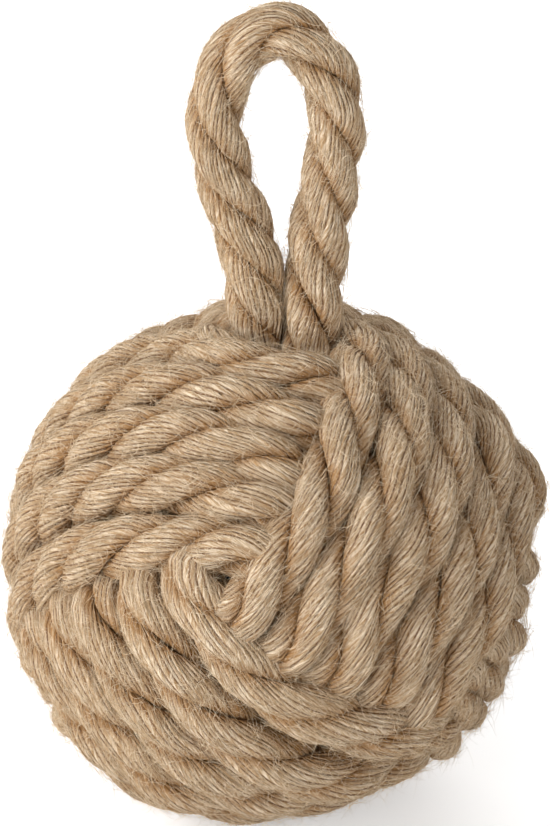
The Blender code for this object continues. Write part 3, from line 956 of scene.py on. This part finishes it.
def cloth_material():
    """Dark plain-woven cloth, its threads crossing over and under, with painted shade in the weave's
    hollows.
    """
    nodes = Nodes("dark_woven_cloth")
    where = nodes.add("ShaderNodeTexCoord").outputs["Object"]
    thread = 2 * math.pi / CLOTH_THREAD
    split = nodes.add("ShaderNodeSeparateXYZ")
    nodes.feed(split.inputs[0], where)
    level = nodes.reckon("ADD", split.outputs[0], split.outputs[1])
    warp = nodes.reckon("SINE", nodes.reckon("MULTIPLY", level, thread))
    weft = nodes.reckon("SINE", nodes.reckon("MULTIPLY", split.outputs[2], thread))
    weave = nodes.reckon("MULTIPLY", warp, weft)
    clouds = nodes.noise(where, *CLOTH_CLOUDS)
    colour = nodes.mix(nodes.ramp(clouds, *CLOTH_MIXED), *CLOTH_TONES)
    # Painted shade: the weave's hollows take a darker tone.
    colour = nodes.mix(nodes.ramp(weave, *CLOTH_WEAVE_SHADE), colour, CLOTH_WEAVE_SHADE_TONE)
    nodes.bump(weave, *CLOTH_BUMPS)
    return nodes.surface(colour, CLOTH_ROUGHNESS)


def sand_material():
    """Pale and brown grains."""
    nodes = Nodes("dry_sand")
    where = nodes.add("ShaderNodeTexCoord").outputs["Object"]
    grains = nodes.noise(where, *SAND_GRAINS)
    colour = nodes.mix(nodes.ramp(grains, *SAND_MIXED), *SAND_TONES)
    nodes.bump(grains, *SAND_BUMPS)
    return nodes.surface(colour, SAND_ROUGHNESS)


# Bag, tie and sand


def turned_object(name, radii, heights, shape, material):
    """A closed turned shape. shape moves its points, given as an array with each one's angle round."""
    segments = YARNS * YARN_COLUMNS
    angles = np.linspace(0, 2 * math.pi, segments, endpoint=False)
    grid = np.stack(
        [
            radii[:, None] * np.cos(angles)[None, :],
            radii[:, None] * np.sin(angles)[None, :],
            np.broadcast_to(heights[:, None], (len(radii), segments)),
        ],
        axis=-1,
    )
    grid = shape(grid, angles) + np.array(KNOT_CENTRE)
    run = np.linspace(0, TURNED_MAP_LENGTH, len(radii))
    return grid_object(name, grid[::-1], np.zeros(grid.shape[:2]), run, 0, material)


def bag_profile(radius):
    """(radius, height) down the bag, from the rim of its neck to the bottom."""
    shoulder = math.radians(BAG_SHOULDER_DEG)
    dish = radius * math.cos(shoulder) - BAG_DISH
    neck = np.linspace(0, 1, NECK_RINGS)
    neck_radii = NECK_RADIUS * (1 + NECK_FLARE * (1 - neck) ** 2 + NECK_WAIST * np.cos(neck * math.pi))
    neck_heights = dish + NECK_HEIGHT * (NECK_RIM - neck)
    fold = np.linspace(0, 1, FOLD_RINGS)[1:-1]
    neck_foot = NECK_RADIUS * NECK_FOOT
    fold_radii = neck_foot + (radius * math.sin(shoulder) - neck_foot) * fold
    fold_heights = dish + BAG_DISH * smooth_step(fold)
    ball = np.linspace(shoulder, math.radians(BAG_BOTTOM_DEG), BALL_RINGS)
    radii = np.concatenate([neck_radii, fold_radii, radius * np.sin(ball)])
    heights = np.concatenate([neck_heights, fold_heights, radius * np.cos(ball)])
    return radii, heights


def bag_shape(grid, angles):
    """Gathers the cloth at the neck, and lets it swell into the knot's other seven corner holes."""
    rng = np.random.default_rng(BAG_SEED)
    distance = np.linalg.norm(grid, axis=-1, keepdims=True)
    direction = grid / distance
    corners = np.array([(x, y, z) for x in (-1, 1) for y in (-1, 1) for z in (-1, 1)], float)
    corners = unit(corners @ knot_axes().T)
    corners = corners[corners[:, 2] < TOP_CORNER_HEIGHT]
    apart = np.arccos(np.clip(direction @ corners.T, -1, 1))
    swell = BAG_BULGE * np.exp(-((apart / math.radians(BAG_BULGE_DEG)) ** 2)).sum(axis=-1, keepdims=True)
    height_share = np.clip(direction[..., 2:3], 0, 1)
    gathers = np.cos(GATHERS * angles + rng.uniform(0, 6))[None, :, None] * GATHER_DEPTH
    gathers = gathers * come_in(height_share, *GATHER_RISE)
    wave, cross_wave = WRINKLE_WAVES
    wrinkles = WRINKLE * np.sin(direction[..., :1] * wave + np.sin(direction[..., 1:2] * cross_wave) * 2)
    sides = np.array([1.0, 1.0, 0.0])
    return grid + direction * (swell + wrinkles) + grid * sides * gathers


def sand_shape(grid, _):
    """Gives the sand small lumps."""
    x, y, z = (grid[..., axis : axis + 1] * wave for axis, wave in enumerate(SAND_WAVES))
    lumps = SAND_LUMP * np.sin(x + np.sin(y) * 2) * np.cos(z)
    return grid * (1 + lumps / SAND_LUMP_RADIUS)


def make_bag():
    """The bag, with its top gathered into a neck."""
    cloth = cloth_material()
    radii, heights = bag_profile(BAG_RADIUS)
    bag = turned_object("bag_cloth_shell", radii, heights, bag_shape, cloth)
    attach(bag, "knot")
    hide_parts("core_bag")


def make_sand():
    """A ball of sand with a flat crown."""
    low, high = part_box("sand_fill")
    ball = np.linspace(math.radians(SAND_CROWN_DEG), math.radians(BAG_BOTTOM_DEG), SAND_RINGS)
    sand_radius = (high.x - low.x) / 2 - SAND_INSET
    crown_radii = np.linspace(SAND_CROWN_HALF, sand_radius * math.sin(ball[0]), SAND_CROWN_RINGS)[:-1]
    crown_heights = np.full(len(crown_radii), sand_radius * math.cos(ball[0]))
    radii = np.concatenate([crown_radii, sand_radius * np.sin(ball)])
    heights = np.concatenate([crown_heights, sand_radius * np.cos(ball)])
    sand = turned_object("sand_grains", radii, heights, sand_shape, sand_material())
    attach(sand, "knot")
    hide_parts("sand_fill")


def make_tie(material):
    """Twine of three strands, once round the bag's neck."""
    low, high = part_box("bag_tie")
    middle = (low + high) / 2
    twine_radius = (high.z - low.z) / 2
    ring_radius = (high.x - low.x) / 2 - twine_radius
    angles = np.linspace(0, 2 * math.pi * TIE_TURN, TIE_POINTS)
    points = np.stack([np.cos(angles) * ring_radius, np.sin(angles) * ring_radius, 0 * angles], axis=1)
    outward = unit(points)
    points = points + np.array(middle)
    run = run_of(points)
    along = unit(np.gradient(points, run, axis=0))
    free = np.full(len(points), FREE)
    line = {
        "points": points,
        "run": run,
        "along": along,
        "outward": outward,
        "sideways": np.cross(along, outward),
        "room": {"plus": free, "minus": free, "out": free, "in": free},
        "fan": np.zeros(len(points)),
        "shown": np.ones(len(points)),
        "swell": np.ones(len(points)),
    }
    rng = np.random.default_rng(TIE_SEED)
    for strand in range(STRANDS):
        grid, _, hollow_shade = strand_shape(line, strand, twine_radius * TIE_FILL, TIE_LAY, 0.0, rng)
        piece = grid_object(f"bag_tie_strand_{strand + 1}", grid, hollow_shade, run, strand, material)
        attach(piece, "knot")
        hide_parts("bag_tie")


# The whole object


def make_knot(material, hairs):
    """The three windings, with their stray fibres."""
    for which, name in enumerate(WINDINGS):
        rng = np.random.default_rng(KNOT_SEED + which)
        line = winding_line(which, rng)
        lay, phase = KNOT_LAYS[which], KNOT_PHASES[which]
        pieces, spots = lay_rope(name, line, ROPE_RADIUS, lay, phase, rng, material)
        for piece in pieces:
            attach(piece, "knot")
            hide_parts(name)
        for batch in range(FIBRE_BATCHES):
            fibres = fibre_object(f"{name}_fibres_{batch + 1}", spots, WINDING_FIBRES, rng, hairs)
            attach(fibres, "knot")


def make_loop(material, hairs):
    """The handle. Its strands run on down into the knot."""
    rng = np.random.default_rng(LOOP_SEED)
    line = loop_line()
    pieces, spots = lay_rope("handle_loop", line, LOOP_RADIUS, LOOP_LAY, LOOP_PHASE, rng, material)
    pieces.append(fibre_object("handle_loop_fibres", spots, LOOP_FIBRES, rng, hairs))
    for piece in pieces:
        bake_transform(piece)
    for piece in pieces[:STRANDS]:
        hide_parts("handle_loop", "handle_root_left", "handle_root_right")


# Floor, light and camera


def seen_rays(tree):
    """1 for rays that the camera sees, straight, by a mirror or through glass, and 0 for falling light."""
    rays = tree.nodes.new("ShaderNodeLightPath")
    seen = rays.outputs["Is Camera Ray"]
    for kind in ("Is Glossy Ray", "Is Transmission Ray"):
        either = tree.nodes.new("ShaderNodeMath")
        either.operation = "MAXIMUM"
        tree.links.new(seen, either.inputs[0])
        tree.links.new(rays.outputs[kind], either.inputs[1])
        seen = either.outputs[0]
    return seen


def make_floor():
    """A pale floor, which glows a little to the camera so that it meets the white round it."""
    nodes = Nodes("pale_floor")
    tree = nodes.tree
    output = tree.nodes["Material Output"]
    nodes.surface((FLOOR_TONE, FLOOR_TONE, FLOOR_TONE, 1.0), FLOOR_ROUGHNESS)
    seen = seen_rays(tree)
    glow = nodes.add("ShaderNodeEmission")
    nodes.feed(glow.inputs["Strength"], nodes.reckon("MULTIPLY", seen, FLOOR_GLOW))
    both = nodes.add("ShaderNodeAddShader")
    tree.links.new(nodes.shader.outputs[0], both.inputs[0])
    tree.links.new(glow.outputs[0], both.inputs[1])
    tree.links.new(both.outputs[0], output.inputs["Surface"])
    half = FLOOR_HALF
    corners = [(-half, -half, 0), (half, -half, 0), (half, half, 0), (-half, half, 0)]
    mesh = bpy.data.meshes.new("floor")
    mesh.from_pydata(corners, [], [(0, 1, 2, 3)])
    mesh.materials.append(nodes.material)
    floor = bpy.data.objects.new("floor", mesh)
    floor.location = (0, 0, -FLOOR_DROP)
    bpy.context.scene.collection.objects.link(floor)


def make_world():
    """White all round, which lights things less than it shows."""
    world = bpy.data.worlds.new("studio")
    bpy.context.scene.world = world
    world.use_nodes = True
    tree = world.node_tree
    background = tree.nodes["Background"]
    background.inputs["Color"].default_value = (1, 1, 1, 1)
    seen = seen_rays(tree)
    level = tree.nodes.new("ShaderNodeMapRange")
    tree.links.new(seen, level.inputs["Value"])
    level.inputs["To Min"].default_value = WORLD_LIGHT
    level.inputs["To Max"].default_value = 1.0
    tree.links.new(level.outputs[0], background.inputs["Strength"])


def make_lamp(name, place, target, size, power):
    data = bpy.data.lights.new(name, "AREA")
    data.shape = "DISK"
    data.size = size
    data.energy = power
    lamp = bpy.data.objects.new(name, data)
    lamp.location = place
    lamp.rotation_euler = (Vector(target) - Vector(place)).to_track_quat("-Z", "Y").to_euler()
    bpy.context.scene.collection.objects.link(lamp)


def make_camera():
    data = bpy.data.cameras.new("camera")
    data.sensor_fit = "VERTICAL"
    data.sensor_height = SENSOR_HEIGHT
    data.lens = SENSOR_HEIGHT * CAMERA_DISTANCE / (FRAME_HEIGHT * MM_PER_PIXEL / MM_PER_METRE)
    data.clip_end = CAMERA_REACH
    camera = bpy.data.objects.new("camera", data)
    right, up, back = (Vector(axis) for axis in camera_axes())
    to_right = (FRAME_WIDTH / 2 - KNOT_IN_FRAME[0]) * MM_PER_PIXEL / MM_PER_METRE
    to_up = (KNOT_IN_FRAME[1] - FRAME_HEIGHT / 2) * MM_PER_PIXEL / MM_PER_METRE
    aim = Vector(KNOT_CENTRE) + right * to_right + up * to_up
    camera.location = aim + back * CAMERA_DISTANCE
    camera.rotation_euler = (-back).to_track_quat("-Z", "Y").to_euler()
    bpy.context.scene.collection.objects.link(camera)
    bpy.context.scene.camera = camera


def main():
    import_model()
    knot_jute = jute_material("jute_of_the_knot", KNOT_SHADE)
    loop_jute = jute_material("jute_of_the_loop", LOOP_SHADE)
    hairs = fibre_material()
    make_knot(knot_jute, hairs)
    make_loop(loop_jute, hairs)
    make_bag()
    make_sand()
    make_tie(loop_jute)
    make_floor()
    make_world()
    for lamp in LAMPS:
        make_lamp(*lamp)
    make_camera()
    bpy.context.scene.view_settings.view_transform = "Standard"


main()
